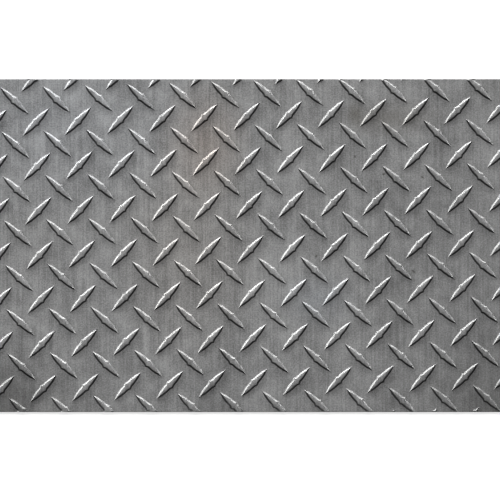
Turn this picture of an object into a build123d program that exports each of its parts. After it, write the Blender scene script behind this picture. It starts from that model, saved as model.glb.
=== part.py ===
"""Checker plate: one cut sheet of hot-rolled steel with a raised pattern of diamond lugs.

Units are millimetres. The origin is the centre of the underside, +X runs along the sheet's
length, +Y across it and +Z up through the patterned face.
"""

import math
import os

from build123d import *

# The sheet
sheet_length = 600.0
sheet_width = 300.0
base_thickness = 5.0
underside_edge_radius = 0.6

# The pattern: lugs of the two leanings alternate, each leaning on its own grid
pitch_along = 38.0
pitch_across = 40.0
lug_lean = 45.0
right_leaning_grid_share = 0.0
left_leaning_grid_share = 0.5
pattern_skew = 1.6
pattern_shift_along = 0.4
pattern_shift_across = -3.6

# One lug: a slender diamond with bowed sides, crossed at its waist by a blunter rhombus whose side
# corners stand out as knuckles
lug_length = 33.6
lug_width = 7.0
lug_height = 1.6
flank_run = 1.25
shoulder_share = 0.7
shoulder_width_share = 0.55
rhombus_length = 27.6
rhombus_width = 7.8

flank_slope = math.degrees(math.atan2(flank_run, lug_height))
lug_reach = lug_length / 2


def lug_locations(lean, grid_share):
    """Returns the places, on the sheet's top face, of the lugs of one leaning that reach the sheet.

    The grid is turned by pattern_skew against the sheet's edges, as on a piece cut by eye from a
    larger sheet, and grid_share moves it by that share of both pitches.
    """
    grid = Location(
        (pattern_shift_along, pattern_shift_across, base_thickness), (0, 0, pattern_skew)
    )
    half_diagonal = math.hypot(sheet_length, sheet_width) / 2
    columns = math.ceil((half_diagonal + lug_reach) / pitch_along) + 1
    rows = math.ceil((half_diagonal + lug_reach) / pitch_across) + 1
    places = []
    for column in range(-columns, columns + 1):
        for row in range(-rows, rows + 1):
            along = (column + grid_share) * pitch_along
            across = (row + grid_share) * pitch_across
            place = grid * Location((along, across, 0), (0, 0, lean))
            if clear_of_edges(place, -lug_reach):
                places.append(place)
    return places


def clear_of_edges(place, margin):
    """Tells whether a place lies at least margin inside every edge of the sheet."""
    return (
        abs(place.position.X) < sheet_length / 2 - margin
        and abs(place.position.Y) < sheet_width / 2 - margin
    )


places = lug_locations(lug_lean, right_leaning_grid_share)
places += lug_locations(-lug_lean, left_leaning_grid_share)
inner_places = [place for place in places if clear_of_edges(place, lug_reach)]
edge_places = [place for place in places if not clear_of_edges(place, lug_reach)]

# One lug, lying along X, with its foot on the XY plane and its flanks sloping in all round; a
# quarter of each outline is mirrored both ways
bowed_diamond = [
    (lug_length / 2, 0),
    (shoulder_share * lug_length / 2, shoulder_width_share * lug_width / 2),
    (0, lug_width / 2),
]
waist_rhombus = [(rhombus_length / 2, 0), (0, rhombus_width / 2)]
with BuildPart() as lug:
    for quarter_outline in (bowed_diamond, waist_rhombus):
        with BuildSketch():
            with BuildLine():
                Polyline(*quarter_outline)
                mirror(about=Plane.YZ)
                mirror(about=Plane.XZ)
            make_face()
        extrude(amount=lug_height, taper=flank_slope)

# The raised pattern: lugs that cross an edge are sheared off flush with it, the others are whole
with BuildPart() as pattern:
    with Locations(*edge_places):
        add(lug.part)
    with BuildSketch(Plane.XY.offset(base_thickness)):
        Rectangle(sheet_length, sheet_width)
    extrude(amount=lug_height, mode=Mode.INTERSECT)
    with Locations(*inner_places):
        add(lug.part)

# The sheet, with the lower edges rounded over by the shear and the pattern rolled up out of it
with BuildPart() as checker_plate:
    with BuildSketch():
        Rectangle(sheet_length, sheet_width)
    extrude(amount=base_thickness)
    underside = checker_plate.faces().sort_by(Axis.Z)[0]
    fillet(underside.edges(), radius=underside_edge_radius)
    add(pattern.part)

checker_plate.part.label = "checker_plate"
os.makedirs("parts", exist_ok=True)
export_step(checker_plate.part, "parts/checker_plate.step")
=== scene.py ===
"""Looks of a checker plate: a cut sheet of hot-rolled steel with raised diamond lugs.

Sizes in the classes' fields are millimetres, and the meshes are made in metres, in the frame of the
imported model: +X along the sheet, +Y across it, +Z up, with the underside's centre at the origin.
"""

import logging
import math
import random
from dataclasses import dataclass, field
from enum import Enum

import bmesh
import bpy
from mathutils import Matrix, Vector

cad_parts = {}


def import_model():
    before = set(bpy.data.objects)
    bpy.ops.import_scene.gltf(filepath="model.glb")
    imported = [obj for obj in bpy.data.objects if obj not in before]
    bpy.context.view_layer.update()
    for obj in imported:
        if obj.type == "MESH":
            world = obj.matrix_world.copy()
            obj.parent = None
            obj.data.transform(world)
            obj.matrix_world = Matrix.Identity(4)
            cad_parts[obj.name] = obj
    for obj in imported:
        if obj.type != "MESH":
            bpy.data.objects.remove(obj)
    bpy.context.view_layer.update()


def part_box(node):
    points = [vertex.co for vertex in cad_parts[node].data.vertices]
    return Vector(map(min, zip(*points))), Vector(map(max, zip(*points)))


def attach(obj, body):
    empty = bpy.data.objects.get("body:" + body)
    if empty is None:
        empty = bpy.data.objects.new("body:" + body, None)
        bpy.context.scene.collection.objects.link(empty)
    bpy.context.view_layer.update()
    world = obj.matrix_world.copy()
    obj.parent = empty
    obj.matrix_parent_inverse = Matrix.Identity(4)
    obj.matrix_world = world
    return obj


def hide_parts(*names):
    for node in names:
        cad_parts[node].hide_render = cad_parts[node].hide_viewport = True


LOG = logging.getLogger("checker_plate")
MM = 0.001
NODE = "checker_plate"
BODY = "root"

# Socket numbers of a Mix node, which has sockets of the same names for numbers and for colours
MIX_FACTOR = 0
MIX_NUMBER_A = 2
MIX_NUMBER_B = 3
MIX_NUMBER_RESULT = 0
MIX_COLOUR_A = 6
MIX_COLOUR_B = 7
MIX_COLOUR_RESULT = 2


def linear_colour(srgb_hex: str) -> tuple[float, float, float, float]:
    """Turns an sRGB hex colour to linear light, by the curve of the sRGB standard.

    Args:
        srgb_hex: The colour as six hex digits, such as "7f7f7f".

    Returns:
        The red, green, blue and alpha that a shader's colour socket takes.
    """
    channels = [int(srgb_hex[start:start + 2], 16) / 255 for start in (0, 2, 4)]
    linear = [c / 12.92 if c <= 0.04045 else ((c + 0.055) / 1.055) ** 2.4 for c in channels]
    return (*linear, 1.0)


def add_node(
    tree: bpy.types.NodeTree,
    kind: str,
    inputs: dict[str | int, object] | None = None,
    **settings: object,
) -> bpy.types.Node:
    """Adds a node to a shader, with its settings and its links.

    Args:
        tree: The node tree that takes the node.
        kind: The node's type name.
        inputs: What goes into the sockets, by socket name or number: a value, or a socket to link.
        **settings: Properties of the node itself.

    Returns:
        The new node.
    """
    node = tree.nodes.new(kind)
    for name, value in settings.items():
        setattr(node, name, value)
    for key, value in (inputs or {}).items():
        if isinstance(value, bpy.types.NodeSocket):
            tree.links.new(value, node.inputs[key])
        else:
            node.inputs[key].default_value = value
    return node


def per_metre(size_mm: float) -> float:
    """Returns the texture scale that gives a pattern features of a size in millimetres."""
    return 1 / (size_mm * MM)


class Leaning(Enum):
    """Which way a lug leans on the sheet, seen from above with +Y up; the value is its sign."""

    RIGHT = 1
    LEFT = -1

    @property
    def grid_share(self) -> float:
        """Returns how far the leaning's grid is moved, as a share of both pitches."""
        return 0.0 if self is Leaning.RIGHT else 0.5


@dataclass(frozen=True)
class LugRing:
    """One closed line round a lug: how far it is inside the foot's sides and tips, and how high."""

    inset: float
    tip_setback: float
    height_share: float


@dataclass(frozen=True)
class Lug:
    """One lug: a slender pointed lens with a knuckle on both sides of its waist.

    The first ring lies on the open sheet, which rises a little from there to the lug's foot. The
    others go from the foot up the flank and over the crown.
    """

    length: float = 35.4
    width: float = 6.15
    knuckle_width: float = 8.4
    knuckle_share: float = 0.12
    bow_power: float = 2.7
    lean_deg: float = 45.0
    station_shares: tuple[float, ...] = (0.66, 0.38, 0.12, 0.0)
    rings: tuple[LugRing, ...] = (
        LugRing(inset=-3.2, tip_setback=-1.2, height_share=0.0),
        LugRing(inset=0.0, tip_setback=0.0, height_share=0.04),
        LugRing(inset=1.3, tip_setback=4.0, height_share=0.87),
        LugRing(inset=1.52, tip_setback=4.6, height_share=0.97),
        LugRing(inset=1.72, tip_setback=5.1, height_share=1.0),
    )

    def half_width(self, share: float) -> float:
        """Works out the foot's half width at one station.

        Args:
            share: How far the station is from the waist, as a share of the way to the tip.

        Returns:
            The half width in millimetres.
        """
        lens = self.width / 2 * (1 - share**self.bow_power)
        knuckle = (self.knuckle_width - self.width) / 2
        return lens + knuckle * math.sqrt(max(0.0, 1 - (share / self.knuckle_share) ** 2))

    def ring_points(self, ring: LugRing, height: float) -> list[Vector]:
        """Places one ring's points in the lug's own frame.

        Args:
            ring: The ring's inset and height.
            height: The lug's height in millimetres.

        Returns:
            The points in metres, anticlockwise from one tip.
        """
        quarter = [(self.length / 2 - ring.tip_setback, 0.0)]
        for share in self.station_shares:
            quarter.append((share * self.length / 2, self.half_width(share) - ring.inset))
        half = quarter + [(-along, across) for along, across in reversed(quarter[:-1])]
        whole = half + [(along, -across) for along, across in reversed(half[1:-1])]
        return [Vector((along, across, height * ring.height_share)) * MM for along, across in whole]


@dataclass
class CheckerPlate:
    """The sheet with its lugs, as one closed mesh."""

    base_thickness: float = 5.0
    pitch_along: float = 38.0
    pitch_across: float = 40.0
    pattern_skew_deg: float = 1.6
    pattern_shift_along: float = 0.4
    pattern_shift_across: float = -3.6
    spare_lugs: int = 2
    top_edge_radius: float = 0.25
    underside_edge_radius: float = 0.6
    edge_steps: int = 2
    edge_guard: float = 0.8
    interlock_share: float = 0.4
    still_rings: int = 2
    weld_distance: float = 0.01
    lug_height_spread: float = 0.05
    lug_turn_spread_deg: float = 0.5
    seed: int = 7
    sharp_angle_deg: float = 28.0
    wall_upward_limit: float = 0.3
    lug: Lug = field(default_factory=Lug)
    half_length: float = field(init=False)
    half_width: float = field(init=False)
    lug_height: float = field(init=False)

    def __post_init__(self) -> None:
        """Takes the sheet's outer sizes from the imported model."""
        low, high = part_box(NODE)
        self.half_length = (high.x - low.x) / 2 / MM
        self.half_width = (high.y - low.y) / 2 / MM
        self.lug_height = (high.z - low.z) / MM - self.base_thickness

    def cell_border(self, leaning: Leaning) -> list[Vector]:
        """Lists the border of the patch of sheet round one lug.

        Patches of the two leanings interlock: a border bulges past the lug's tips and draws in at its
        waist, where the next lug's tip comes.

        Args:
            leaning: The lug's leaning.

        Returns:
            The border's points in metres round the lug's centre, anticlockwise from one tip.
        """
        quarter_along = self.pitch_along / 4
        quarter_across = self.pitch_across / 4
        round_cell = [(1, 1), (0, 2), (-1, 1), (-2, 0), (-1, -1), (0, -2), (1, -1), (2, 0)]
        first_tip = round_cell.index((1, leaning.value))
        bulges = (1 + self.interlock_share, 1.0, 1 - self.interlock_share, 1.0)
        corners = []
        for index, (along, across) in enumerate(round_cell[first_tip:] + round_cell[:first_tip]):
            point = Vector((along * quarter_along, across * quarter_across, 0))
            corners.append(point * bulges[index % len(bulges)] * MM)
        border = []
        for corner, following in zip(corners, corners[1:] + corners[:1]):
            border += [corner, (corner + following) / 2]
        return border

    def build_cell(self, leaning: Leaning) -> bpy.types.Mesh:
        """Models one lug on its patch of sheet, with the sheet's face at height zero.

        Args:
            leaning: The lug's leaning.

        Returns:
            The patch's mesh, in the pattern's own frame.
        """
        bm = bmesh.new()
        face = bm.faces.new([bm.verts.new(point) for point in self.cell_border(leaning)])
        lean = Matrix.Rotation(math.radians(self.lug.lean_deg * leaning.value), 4, "Z")
        knuckle_reach = self.lug.knuckle_share * self.lug.length / 2 * MM
        for ring in self.lug.rings:
            below = list(face.verts)
            raised = bmesh.ops.extrude_face_region(bm, geom=[face])
            bmesh.ops.delete(bm, geom=[face], context="FACES_ONLY")
            face = next(part for part in raised["geom"] if isinstance(part, bmesh.types.BMFace))
            points = self.lug.ring_points(ring, self.lug_height)
            for lower, upper, point in zip(below, face.verts, points):
                upper.co = lean @ point
                if abs(point.x) <= knuckle_reach:
                    bm.edges.get((lower, upper)).smooth = False
        around = list(face.verts)
        for index in range(1, len(around) // 2):
            bmesh.ops.connect_verts(bm, verts=[around[index], around[-index]])
        mesh = bpy.data.meshes.new(f"lug_cell_{leaning.name.lower()}")
        bm.to_mesh(mesh)
        bm.free()
        return mesh

    def lug_places(self, leaning: Leaning) -> list[Matrix]:
        """Lists where the patches of one leaning go, over the sheet and just past its edges.

        Args:
            leaning: The leaning of the patches' lugs.

        Returns:
            The places, each as a transform from a patch's own frame to the sheet's.
        """
        shift = Vector((self.pattern_shift_along, self.pattern_shift_across, self.base_thickness))
        skew = Matrix.Rotation(math.radians(self.pattern_skew_deg), 4, "Z")
        pattern = Matrix.Translation(shift * MM) @ skew
        columns = math.ceil(self.half_length / self.pitch_along) + self.spare_lugs
        rows = math.ceil(self.half_width / self.pitch_across) + self.spare_lugs
        places = []
        for column in range(-columns, columns + 1):
            for row in range(-rows, rows + 1):
                along = (column + leaning.grid_share) * self.pitch_along * MM
                across = (row + leaning.grid_share) * self.pitch_across * MM
                places.append(pattern @ Matrix.Translation((along, across, 0)))
        return places

    def lay_pattern(self, bm: bmesh.types.BMesh) -> None:
        """Lays the patches of both leanings side by side and welds them to one face.

        Each lug gets its own small change of height and lean. A patch's outer rings stay still, so
        that the patches meet.

        Args:
            bm: The empty mesh that takes the patches.
        """
        dice = random.Random(self.seed)
        for leaning in Leaning:
            cell = self.build_cell(leaning)
            border_points = len(self.cell_border(leaning))
            for place in self.lug_places(leaning):
                first = len(bm.verts)
                bm.from_mesh(cell)
                bm.verts.ensure_lookup_table()
                verts = bm.verts[first:]
                worn = Matrix.Diagonal((1, 1, 1 - dice.uniform(0, self.lug_height_spread), 1))
                turn = math.radians(dice.uniform(-1, 1) * self.lug_turn_spread_deg)
                own_change = Matrix.Rotation(turn, 4, "Z") @ worn
                lug_verts = verts[self.still_rings * border_points:]
                bmesh.ops.transform(bm, matrix=own_change, verts=lug_verts)
                bmesh.ops.transform(bm, matrix=place, verts=verts)
            bpy.data.meshes.remove(cell)
        bmesh.ops.remove_doubles(bm, verts=bm.verts, dist=self.weld_distance * MM)

    def cut_to_sheet(self, bm: bmesh.types.BMesh) -> None:
        """Cuts the pattern off along the sheet's four edges, just inside their rounding.

        Args:
            bm: The mesh of the laid pattern.
        """
        margin = self.top_edge_radius + self.edge_guard
        along = Vector((1, 0, 0))
        across = Vector((0, 1, 0))
        for axis, half_size in ((along, self.half_length), (across, self.half_width)):
            for side in (axis, -axis):
                bmesh.ops.bisect_plane(
                    bm,
                    geom=[*bm.verts, *bm.edges, *bm.faces],
                    plane_co=side * (half_size - margin) * MM,
                    plane_no=side,
                    clear_outer=True,
                )

    def extend_border(
        self, bm: bmesh.types.BMesh, from_inset: float, to_inset: float, drop: float
    ) -> list[bmesh.types.BMVert]:
        """Extrudes the open border of the mesh towards or away from the sheet's edges, and down.

        Args:
            bm: The open mesh.
            from_inset: How far inside the sheet's outline the border is, in millimetres.
            to_inset: How far inside it the new border comes.
            drop: How far down the new border goes.

        Returns:
            The new border's points.
        """
        border = [edge for edge in bm.edges if edge.is_boundary]
        grown = bmesh.ops.extrude_edge_only(bm, edges=border)
        verts = [part for part in grown["geom"] if isinstance(part, bmesh.types.BMVert)]
        along = (self.half_length - to_inset) / (self.half_length - from_inset)
        across = (self.half_width - to_inset) / (self.half_width - from_inset)
        bmesh.ops.scale(bm, vec=(along, across, 1), verts=verts)
        bmesh.ops.translate(bm, vec=(0, 0, -drop * MM), verts=verts)
        return verts

    def round_border(self, bm: bmesh.types.BMesh, radius: float, outwards: bool) -> None:
        """Rounds the open border over, between the wall and one of the sheet's faces.

        Args:
            bm: The open mesh.
            radius: The rounding's radius in millimetres.
            outwards: True from the top face out to the wall, False from the wall in to the underside.
        """
        steps = [math.pi / 2 * step / self.edge_steps for step in range(self.edge_steps + 1)]
        for before, after in zip(steps, steps[1:]):
            if outwards:
                insets = [radius * (1 - math.sin(angle)) for angle in (before, after)]
                drop = radius * (math.cos(before) - math.cos(after))
            else:
                insets = [radius * (1 - math.cos(angle)) for angle in (before, after)]
                drop = radius * (math.sin(after) - math.sin(before))
            self.extend_border(bm, insets[0], insets[1], drop)

    def close_sheet(self, bm: bmesh.types.BMesh) -> None:
        """Adds the sheared walls, the rounded edges and the plain underside.

        Args:
            bm: The mesh of the top face, open along the cut.
        """
        margin = self.top_edge_radius + self.edge_guard
        self.extend_border(bm, from_inset=margin, to_inset=self.top_edge_radius, drop=0)
        self.round_border(bm, self.top_edge_radius, outwards=True)
        wall_foot = self.extend_border(bm, from_inset=0, to_inset=0, drop=0)
        lower_plane = Matrix.Translation((0, 0, -self.underside_edge_radius * MM))
        bmesh.ops.scale(bm, vec=(1, 1, 0), space=lower_plane, verts=wall_foot)
        self.round_border(bm, self.underside_edge_radius, outwards=False)
        bmesh.ops.contextual_create(bm, geom=[edge for edge in bm.edges if edge.is_boundary])
        bmesh.ops.recalc_face_normals(bm, faces=bm.faces)

    def mark_faces(self, bm: bmesh.types.BMesh) -> None:
        """Gives the walls the second finish, and shades smooth across all but the sharp edges.

        Args:
            bm: The closed mesh.
        """
        for face in bm.faces:
            face.smooth = True
            is_wall = abs(face.normal.z) < self.wall_upward_limit
            face.material_index = int(is_wall)
        for edge in bm.edges:
            if edge.calc_face_angle(0) > math.radians(self.sharp_angle_deg):
                edge.smooth = False

    def build(self) -> bpy.types.Object:
        """Models the whole plate.

        Returns:
            The plate's object, at the origin.
        """
        bm = bmesh.new()
        self.lay_pattern(bm)
        self.cut_to_sheet(bm)
        self.close_sheet(bm)
        self.mark_faces(bm)
        mesh = bpy.data.meshes.new("patterned_sheet")
        bm.to_mesh(mesh)
        bm.free()
        plate = bpy.data.objects.new("patterned_sheet", mesh)
        bpy.context.scene.collection.objects.link(plate)
        return plate

    def dress(
        self, plate: bpy.types.Object, finish: "RolledSteel", edge_finish: "ShearedSteel"
    ) -> None:
        """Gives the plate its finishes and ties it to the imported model.

        Args:
            plate: The plate's object.
            finish: The finish of its faces and lugs.
            edge_finish: The finish of its four sides.
        """
        plate.data.materials.append(finish.material())
        plate.data.materials.append(edge_finish.material())
        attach(plate, BODY)
        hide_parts(NODE)


@dataclass(frozen=True)
class Unevenness:
    """One layer of marks on a surface: their size, and how far they change tone, gloss and relief."""

    size_along: float
    size_across: float
    detail: float
    tone: float = 0.0
    roughness: float = 0.0
    relief: float = 0.0


@dataclass(frozen=True)
class StainAndShade:
    """One soft-edged mark on the sheet's top face (a tint, speck or grime, and at the corners painted
    shade): its place, reach, colour and strength.
    """

    along: float
    across: float
    reach_along: float
    reach_across: float
    colour: str
    strength: float


@dataclass(frozen=True)
class RolledSteel:
    """Hot-rolled steel plate with its mill finish, scuffed in use.

    Rolling leaves a thin tight scale, so the eye gets a dull cloudy grey whose reflections spread
    wide, drawn out in fine streaks across the sheet. The lugs' sloping flanks are smoother and
    glossier than the flat faces, so they catch the light on one side and go dark on the other.
    """

    colour: str = "9c9c9c"
    metallic: float = 0.6
    roughness: float = 0.6
    flank_metallic: float = 0.95
    flank_roughness: float = 0.43
    flank_tone: float = 0.73
    flank_evenness: float = 0.6
    flank_upward: float = 0.8
    flat_upward: float = 0.97
    layers: tuple[Unevenness, ...] = (
        # Clouds and blotches of the scale
        Unevenness(60.0, 70.0, 3.0, tone=0.40, roughness=0.07),
        Unevenness(11.0, 13.0, 3.0, tone=0.60, roughness=0.05),
        # Broad and fine streaks
        Unevenness(26.0, 420.0, 1.0, tone=0.26),
        Unevenness(1.7, 60.0, 2.0, tone=0.55, relief=0.4),
        # Scale grain is under 0.3 mm; it is drawn four times as coarse, so that it shows from here
        Unevenness(1.2, 1.2, 2.0, tone=0.95, relief=1.0),
    )
    relief_depth: float = 0.045
    grain_strength: float = 0.4
    flank_grain_strength: float = 0.12
    stain_and_shade_raggedness: float = 7.0
    stain_and_shade_detail: float = 4.0
    stains_and_shade: tuple[StainAndShade, ...] = (
        # Faint brown, pale and blue-grey areas
        StainAndShade(-42.0, 92.0, 45.0, 60.0, "a2978f", 0.5),
        StainAndShade(-55.0, 0.0, 75.0, 120.0, "9f9b97", 0.4),
        StainAndShade(-180.0, 115.0, 160.0, 100.0, "a5a7aa", 0.5),
        StainAndShade(62.0, -48.0, 40.0, 30.0, "989b9f", 0.5),
        # Grime towards the upper right, and the sheet darker towards the right and the lower border
        StainAndShade(126.0, 115.0, 55.0, 20.0, "83817e", 0.7),
        StainAndShade(95.0, 118.0, 9.0, 14.0, "77756f", 0.6),
        StainAndShade(240.0, -40.0, 230.0, 240.0, "8b8b8b", 0.6),
        StainAndShade(10.0, -160.0, 260.0, 75.0, "8a8a8a", 0.4),
        # Painted shade: every corner but the upper left is darker
        StainAndShade(-240.0, -150.0, 95.0, 70.0, "6f6f6e", 0.8),
        StainAndShade(250.0, -150.0, 110.0, 80.0, "6f6f6e", 0.8),
        StainAndShade(245.0, 160.0, 60.0, 60.0, "7a7a79", 0.7),
        # Dark specks
        StainAndShade(94.0, 80.0, 1.8, 1.8, "4a4744", 0.8),
        StainAndShade(155.0, 61.0, 1.9, 1.6, "4a4744", 0.8),
        StainAndShade(121.0, 65.0, 1.7, 1.7, "4a4744", 0.8),
        StainAndShade(60.0, -9.5, 1.7, 1.9, "4a4744", 0.8),
        StainAndShade(147.0, -23.0, 1.6, 1.8, "4a4744", 0.8),
    )

    def stained_and_shaded_colour(
        self, tree: bpy.types.NodeTree, place: bpy.types.NodeSocket
    ) -> bpy.types.NodeSocket:
        """Lays the tints, specks and grime, and the painted shade at the corners, over the steel's
        own colour.

        Args:
            tree: The shader's node tree.
            place: The socket that gives a point's place on the plate.

        Returns:
            The socket that gives the colour.
        """
        raggedness = self.stain_and_shade_raggedness * MM
        drift = add_node(
            tree,
            "ShaderNodeTexNoise",
            {
                "Vector": place,
                "Scale": per_metre(self.stain_and_shade_raggedness),
                "Detail": self.stain_and_shade_detail,
            },
        )
        ragged_place = add_node(
            tree,
            "ShaderNodeVectorMath",
            {0: drift.outputs["Color"], 1: (raggedness, raggedness, 0), 2: place},
            operation="MULTIPLY_ADD",
        )
        colour = linear_colour(self.colour)
        for stain_and_shade in self.stains_and_shade:
            centre = (stain_and_shade.along * MM + raggedness / 2, stain_and_shade.across * MM + raggedness / 2, 0)
            reach = (stain_and_shade.reach_along * MM, stain_and_shade.reach_across * MM, 1)
            spot = add_node(
                tree,
                "ShaderNodeMapping",
                {"Vector": ragged_place.outputs["Vector"], "Location": centre, "Scale": reach},
                vector_type="TEXTURE",
            )
            fade = add_node(
                tree,
                "ShaderNodeTexGradient",
                {"Vector": spot.outputs["Vector"]},
                gradient_type="SPHERICAL",
            )
            cover = add_node(
                tree,
                "ShaderNodeMath",
                {0: fade.outputs["Fac"], 1: stain_and_shade.strength},
                operation="MULTIPLY",
            )
            mixed = add_node(
                tree,
                "ShaderNodeMix",
                {
                    MIX_FACTOR: cover.outputs[0],
                    MIX_COLOUR_A: colour,
                    MIX_COLOUR_B: linear_colour(stain_and_shade.colour),
                },
                data_type="RGBA",
            )
            colour = mixed.outputs[MIX_COLOUR_RESULT]
        return colour

    def summed_marks(
        self, tree: bpy.types.NodeTree, place: bpy.types.NodeSocket
    ) -> dict[str, float | bpy.types.NodeSocket]:
        """Adds up what the layers of marks do to the surface.

        Args:
            tree: The shader's node tree.
            place: The socket that gives a point's place on the plate.

        Returns:
            The sockets that give the tone, the roughness and the relief, by those names.
        """
        sums: dict[str, float | bpy.types.NodeSocket] = {
            "tone": 1 - sum(layer.tone for layer in self.layers) / 2,
            "roughness": self.roughness - sum(layer.roughness for layer in self.layers) / 2,
            "relief": 0.0,
        }
        for layer in self.layers:
            along = per_metre(layer.size_along)
            scale = (along, per_metre(layer.size_across), along)
            spread = add_node(tree, "ShaderNodeMapping", {"Vector": place, "Scale": scale})
            marks = add_node(
                tree,
                "ShaderNodeTexNoise",
                {"Vector": spread.outputs["Vector"], "Scale": 1.0, "Detail": layer.detail},
            )
            strengths = {"tone": layer.tone, "roughness": layer.roughness, "relief": layer.relief}
            for name, strength in strengths.items():
                added = add_node(
                    tree,
                    "ShaderNodeMath",
                    {0: marks.outputs["Fac"], 1: strength, 2: sums[name]},
                    operation="MULTIPLY_ADD",
                )
                sums[name] = added.outputs[0]
        return sums

    def flank_share(
        self, tree: bpy.types.NodeTree, normal: bpy.types.NodeSocket
    ) -> bpy.types.NodeSocket:
        """Tells the lugs' sloping flanks from the flat faces.

        Args:
            tree: The shader's node tree.
            normal: The socket that gives the direction in which the surface faces.

        Returns:
            The socket that gives 1 on a flank and 0 on a flat face.
        """
        upward = add_node(tree, "ShaderNodeSeparateXYZ", {"Vector": normal}).outputs["Z"]
        flatness = add_node(tree, "ShaderNodeMath", {0: upward}, operation="ABSOLUTE").outputs[0]
        return add_node(
            tree,
            "ShaderNodeMapRange",
            {"Value": flatness, "From Min": self.flat_upward, "From Max": self.flank_upward},
        ).outputs[0]

    def material(self) -> bpy.types.Material:
        """Builds the steel's shader.

        Returns:
            The material.
        """
        material = bpy.data.materials.new("hot_rolled_steel")
        material.use_nodes = True
        tree = material.node_tree
        tree.nodes.clear()
        coordinates = add_node(tree, "ShaderNodeTexCoord")
        place = coordinates.outputs["Object"]
        marks = self.summed_marks(tree, place)
        on_flank = self.flank_share(tree, coordinates.outputs["Normal"])
        even_share = add_node(
            tree, "ShaderNodeMath", {0: on_flank, 1: self.flank_evenness}, operation="MULTIPLY"
        )
        evened_tone = add_node(
            tree,
            "ShaderNodeMix",
            {MIX_FACTOR: even_share.outputs[0], MIX_NUMBER_A: marks["tone"], MIX_NUMBER_B: 1.0},
        )
        tone = add_node(
            tree,
            "ShaderNodeMath",
            {0: on_flank, 1: self.flank_tone - 1, 2: evened_tone.outputs[MIX_NUMBER_RESULT]},
            operation="MULTIPLY_ADD",
        )
        roughness = add_node(
            tree,
            "ShaderNodeMath",
            {0: on_flank, 1: self.flank_roughness - self.roughness, 2: marks["roughness"]},
            operation="MULTIPLY_ADD",
        )
        metallic = add_node(
            tree,
            "ShaderNodeMapRange",
            {"Value": on_flank, "To Min": self.metallic, "To Max": self.flank_metallic},
        )
        grain_strength = add_node(
            tree,
            "ShaderNodeMapRange",
            {"Value": on_flank, "To Min": self.grain_strength, "To Max": self.flank_grain_strength},
        )
        bump = add_node(
            tree,
            "ShaderNodeBump",
            {
                "Strength": grain_strength.outputs[0],
                "Distance": self.relief_depth * MM,
                "Height": marks["relief"],
            },
        )
        colour = add_node(
            tree,
            "ShaderNodeVectorMath",
            {0: self.stained_and_shaded_colour(tree, place), "Scale": tone.outputs[0]},
            operation="SCALE",
        )
        shader = add_node(
            tree,
            "ShaderNodeBsdfPrincipled",
            {
                "Base Color": colour.outputs["Vector"],
                "Metallic": metallic.outputs[0],
                "Roughness": roughness.outputs[0],
                "Normal": bump.outputs["Normal"],
            },
        )
        add_node(tree, "ShaderNodeOutputMaterial", {"Surface": shader.outputs["BSDF"]})
        return material


@dataclass(frozen=True)
class ShearedSteel:
    """Bare steel on the sheet's four sheared sides.

    The blade burnishes the lower part and the rest breaks away, so the eye gets a bright band under a
    dull one, and both have fine upright marks.
    """

    burnished_colour: str = "b2b2b0"
    broken_colour: str = "7a7977"
    burnished_roughness: float = 0.38
    broken_roughness: float = 0.7
    burnished_height: float = 2.1
    border_softness: float = 0.35
    border_waver: float = 1.2
    mark_width: float = 0.8
    mark_length: float = 9.0
    mark_detail: float = 3.0
    mark_tone: float = 0.9
    mark_depth: float = 0.03

    def material(self) -> bpy.types.Material:
        """Builds the edge's shader.

        Returns:
            The material.
        """
        material = bpy.data.materials.new("sheared_steel")
        material.use_nodes = True
        tree = material.node_tree
        tree.nodes.clear()
        place = add_node(tree, "ShaderNodeTexCoord").outputs["Object"]
        sideways = per_metre(self.mark_width)
        scale = (sideways, sideways, per_metre(self.mark_length))
        spread = add_node(tree, "ShaderNodeMapping", {"Vector": place, "Scale": scale})
        marks = add_node(
            tree,
            "ShaderNodeTexNoise",
            {"Vector": spread.outputs["Vector"], "Scale": 1.0, "Detail": self.mark_detail},
        ).outputs["Fac"]
        height = add_node(tree, "ShaderNodeSeparateXYZ", {"Vector": place}).outputs["Z"]
        wavering_height = add_node(
            tree,
            "ShaderNodeMath",
            {0: marks, 1: self.border_waver * MM, 2: height},
            operation="MULTIPLY_ADD",
        )
        border = self.burnished_height + self.border_waver / 2
        broken = add_node(
            tree,
            "ShaderNodeMapRange",
            {
                "Value": wavering_height.outputs[0],
                "From Min": (border - self.border_softness) * MM,
                "From Max": (border + self.border_softness) * MM,
            },
        ).outputs[0]
        colour = add_node(
            tree,
            "ShaderNodeMix",
            {
                MIX_FACTOR: broken,
                MIX_COLOUR_A: linear_colour(self.burnished_colour),
                MIX_COLOUR_B: linear_colour(self.broken_colour),
            },
            data_type="RGBA",
        )
        tone = add_node(
            tree,
            "ShaderNodeMapRange",
            {"Value": marks, "To Min": 1 - self.mark_tone / 2, "To Max": 1 + self.mark_tone / 2},
        )
        marked_colour = add_node(
            tree,
            "ShaderNodeVectorMath",
            {0: colour.outputs[MIX_COLOUR_RESULT], "Scale": tone.outputs[0]},
            operation="SCALE",
        )
        roughness = add_node(
            tree,
            "ShaderNodeMapRange",
            {"Value": broken, "To Min": self.burnished_roughness, "To Max": self.broken_roughness},
        )
        bump = add_node(
            tree, "ShaderNodeBump", {"Distance": self.mark_depth * MM, "Height": marks}
        )
        shader = add_node(
            tree,
            "ShaderNodeBsdfPrincipled",
            {
                "Base Color": marked_colour.outputs["Vector"],
                "Metallic": 1.0,
                "Roughness": roughness.outputs[0],
                "Normal": bump.outputs["Normal"],
            },
        )
        add_node(tree, "ShaderNodeOutputMaterial", {"Surface": shader.outputs["BSDF"]})
        return material


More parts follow.
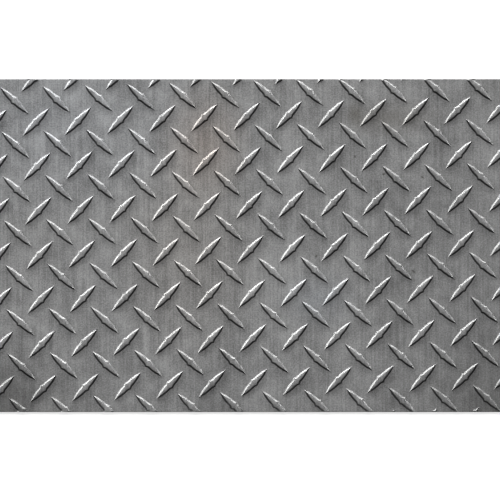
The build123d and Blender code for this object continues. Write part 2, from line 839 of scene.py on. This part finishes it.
@dataclass(frozen=True)
class StudioFloor:
    """Matt white studio card, lit from within a little so that the eye gets an even white."""

    colour: str = "e6e6e6"
    roughness: float = 0.8
    glow: float = 0.75

    def material(self) -> bpy.types.Material:
        """Builds the card's shader.

        Returns:
            The material.
        """
        material = bpy.data.materials.new("white_card")
        material.use_nodes = True
        shader = material.node_tree.nodes["Principled BSDF"]
        shader.inputs["Base Color"].default_value = linear_colour(self.colour)
        shader.inputs["Roughness"].default_value = self.roughness
        shader.inputs["Emission Color"].default_value = linear_colour(self.colour)
        shader.inputs["Emission Strength"].default_value = self.glow
        return material


@dataclass(frozen=True)
class SoftBox:
    """One rectangular studio light, aimed at the middle of the plate."""

    name: str
    azimuth_deg: float
    elevation_deg: float
    width: float
    power: float
    height: float = 1600.0
    distance: float = 10000.0

    def build(self) -> None:
        """Hangs the light."""
        lamp = bpy.data.lights.new(self.name, "AREA")
        lamp.shape = "RECTANGLE"
        lamp.size = self.width * MM
        lamp.size_y = self.height * MM
        lamp.energy = self.power
        light = bpy.data.objects.new(self.name, lamp)
        azimuth = math.radians(self.azimuth_deg)
        elevation = math.radians(self.elevation_deg)
        towards = Vector((
            math.cos(elevation) * math.cos(azimuth),
            math.cos(elevation) * math.sin(azimuth),
            math.sin(elevation),
        ))
        light.location = towards * self.distance * MM
        light.rotation_euler = towards.to_track_quat("Z", "Y").to_euler()
        bpy.context.scene.collection.objects.link(light)


@dataclass(frozen=True)
class SoftCeiling:
    """The even light all round: brightest straight overhead and dim towards the horizon."""

    colour: str = "ffffff"
    overhead: float = 1.02
    horizon: float = 0.04
    falloff: float = 4.4

    def build(self) -> bpy.types.World:
        """Builds the light.

        Returns:
            The world that gives it.
        """
        world = bpy.data.worlds.new("soft_ceiling")
        world.use_nodes = True
        tree = world.node_tree
        tree.nodes.clear()
        direction = add_node(tree, "ShaderNodeTexCoord").outputs["Generated"]
        upward = add_node(tree, "ShaderNodeSeparateXYZ", {"Vector": direction}).outputs["Z"]
        above = add_node(tree, "ShaderNodeMath", {0: upward, 1: 0.0}, operation="MAXIMUM")
        share = add_node(
            tree, "ShaderNodeMath", {0: above.outputs[0], 1: self.falloff}, operation="POWER"
        )
        strength = add_node(
            tree,
            "ShaderNodeMath",
            {0: share.outputs[0], 1: self.overhead, 2: self.horizon},
            operation="MULTIPLY_ADD",
        )
        glow = add_node(
            tree,
            "ShaderNodeBackground",
            {"Color": linear_colour(self.colour), "Strength": strength.outputs[0]},
        )
        add_node(tree, "ShaderNodeOutputWorld", {"Surface": glow.outputs["Background"]})
        return world


@dataclass
class Studio:
    """The floor, the lights and the camera."""

    floor_size: float = 12000.0
    picture_height_px: float = 501.0
    pixels_per_mm: float = 1.11
    plate_rise_px: float = 5.0
    camera_distance: float = 4500.0
    view_depth: float = 24000.0
    sensor: float = 36.0
    plate_face_height: float = 5.0
    picture_gamma: float = 0.72
    floor: StudioFloor = field(default_factory=StudioFloor)
    ceiling: SoftCeiling = field(default_factory=SoftCeiling)
    lights: tuple[SoftBox, ...] = (
        SoftBox("left_light", azimuth_deg=143.0, elevation_deg=12.2, width=13100.0, power=1335.0),
        SoftBox("back_light", azimuth_deg=83.0, elevation_deg=12.0, width=12000.0, power=1254.0),
        SoftBox("right_light", azimuth_deg=28.0, elevation_deg=5.0, width=1800.0, power=231.0),
        SoftBox(
            "high_light",
            azimuth_deg=90.0,
            elevation_deg=64.0,
            width=11000.0,
            power=340.0,
            height=2600.0,
        ),
    )

    def build_floor(self) -> None:
        """Lays the floor under the plate."""
        bm = bmesh.new()
        bmesh.ops.create_grid(bm, x_segments=1, y_segments=1, size=self.floor_size / 2 * MM)
        mesh = bpy.data.meshes.new("floor")
        bm.to_mesh(mesh)
        bm.free()
        floor = bpy.data.objects.new("floor", mesh)
        mesh.materials.append(self.floor.material())
        bpy.context.scene.collection.objects.link(floor)

    def build_camera(self) -> None:
        """Hangs the camera straight above the plate, with +Y up in the picture."""
        seen_height = self.picture_height_px / self.pixels_per_mm
        data = bpy.data.cameras.new("camera")
        data.sensor_width = self.sensor
        data.lens = self.sensor * self.camera_distance / seen_height
        data.clip_end = self.view_depth * MM
        camera = bpy.data.objects.new("camera", data)
        below_centre = self.plate_rise_px / self.pixels_per_mm
        height = self.plate_face_height + self.camera_distance
        camera.location = Vector((0, -below_centre, height)) * MM
        bpy.context.scene.collection.objects.link(camera)
        bpy.context.scene.camera = camera

    def build(self) -> None:
        """Sets up the whole studio."""
        scene = bpy.context.scene
        scene.view_settings.view_transform = "Standard"
        scene.view_settings.gamma = self.picture_gamma
        scene.world = self.ceiling.build()
        self.build_floor()
        for light in self.lights:
            light.build()
        self.build_camera()


def main() -> None:
    """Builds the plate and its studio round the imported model."""
    logging.basicConfig(level=logging.INFO, format="%(name)s: %(message)s")
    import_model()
    maker = CheckerPlate()
    plate = maker.build()
    maker.dress(plate, RolledSteel(), ShearedSteel())
    LOG.info("%s: %d faces", plate.name, len(plate.data.polygons))
    Studio().build()


if __name__ == "__main__":
    main()
